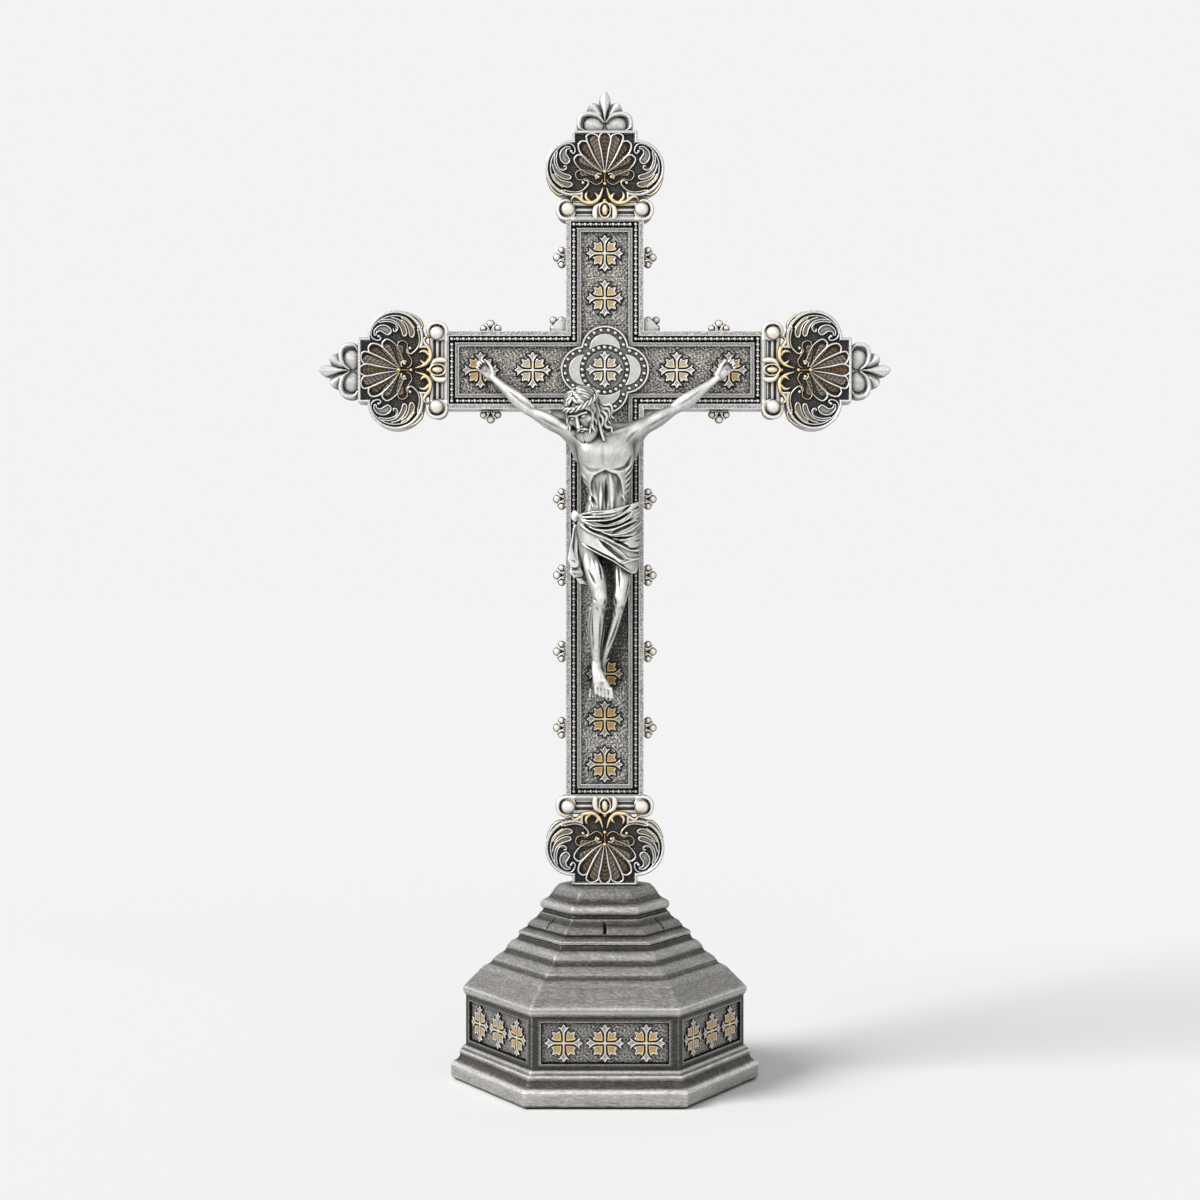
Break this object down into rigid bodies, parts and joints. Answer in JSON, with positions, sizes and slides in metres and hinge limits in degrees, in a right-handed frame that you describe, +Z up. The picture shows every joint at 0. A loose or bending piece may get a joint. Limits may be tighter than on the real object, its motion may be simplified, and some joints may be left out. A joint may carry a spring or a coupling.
{
  "type": "standing crucifix",
  "caption": "Standing altar crucifix: jewelled cross with leaf terminals and a nailed figure, on a stepped six-sided base with a rosette frieze.",
  "frame": {"origin": "centre of the underside of the base, on the surface it stands on", "axes": "+Z up the shaft, -Y towards the viewer in front of the figure, +X to that viewer's right"},
  "size_m": [0.2314, 0.1086, 0.4003],
  "materials": {
    "antique_silver": "oxidised silver plate on cast alloy, satin, dark in the hollows",
    "bright_silver": "rubbed silver plate on cast alloy, satin bright",
    "figure_silver": "rubbed silver plate on cast alloy, smooth satin",
    "dark_silver": "blackened silver plate, hammered",
    "base_silver": "brushed silver plate on cast alloy, streaky satin",
    "gilt": "matt gilding, rubbed thin on the edges",
    "gilt_silver": "oxidised silver plate with thin gilding",
    "steel": "zinc plated",
    "felt": "dark felt"
  },
  "bodies": {
    "root": {"acanthus_foot": "gilt_silver", "acanthus_left": "gilt_silver", "acanthus_right": "gilt_silver", "acanthus_top": "gilt_silver", "back_cover": "antique_silver", "bell_roof": "base_silver", "clamp_plate": "steel", "corpus": "figure_silver", "cross_body": "antique_silver", "cross_crosslets": "bright_silver", "cross_petals": "gilt", "felt_ring": "felt", "field_plate": "dark_silver", "finial_left": "bright_silver", "finial_right": "bright_silver", "finial_top": "bright_silver", "frieze_body": "base_silver", "frieze_crosslets": "bright_silver", "frieze_panels": "dark_silver", "frieze_petals": "gilt", "inner_fillet": "bright_silver", "knops_corner": "bright_silver", "knops_left_arm": "bright_silver", "knops_right_arm": "bright_silver", "knops_shaft": "bright_silver", "knops_top_arm": "bright_silver", "lotus_foot": "gilt", "lotus_left": "gilt", "lotus_right": "gilt", "lotus_top": "gilt", "medallion_boss": "dark_silver", "medallion_lunettes": "bright_silver", "medallion_pearls": "bright_silver", "medallion_plate": "dark_silver", "medallion_rim": "bright_silver", "nails": "figure_silver", "palmette_foot": "antique_silver", "palmette_left": "antique_silver", "palmette_right": "antique_silver", "palmette_top": "antique_silver", "pearl_border_left_arm": "bright_silver", "pearl_border_right_arm": "bright_silver", "pearl_border_shaft": "bright_silver", "pearl_border_top_arm": "bright_silver", "rod_nut": "steel", "rod_washer": "steel", "scroll_collar_foot": "antique_silver", "scroll_collar_left": "antique_silver", "scroll_collar_right": "antique_silver", "scroll_collar_top": "antique_silver", "skirting": "base_silver", "stepped_collar": "base_silver", "terminal_plate_foot": "antique_silver", "terminal_plate_left": "antique_silver", "terminal_plate_right": "antique_silver", "terminal_plate_top": "antique_silver", "terminal_screws": "steel", "tie_rod": "steel", "top_cushion": "base_silver"}
  },
  "joints": []
}
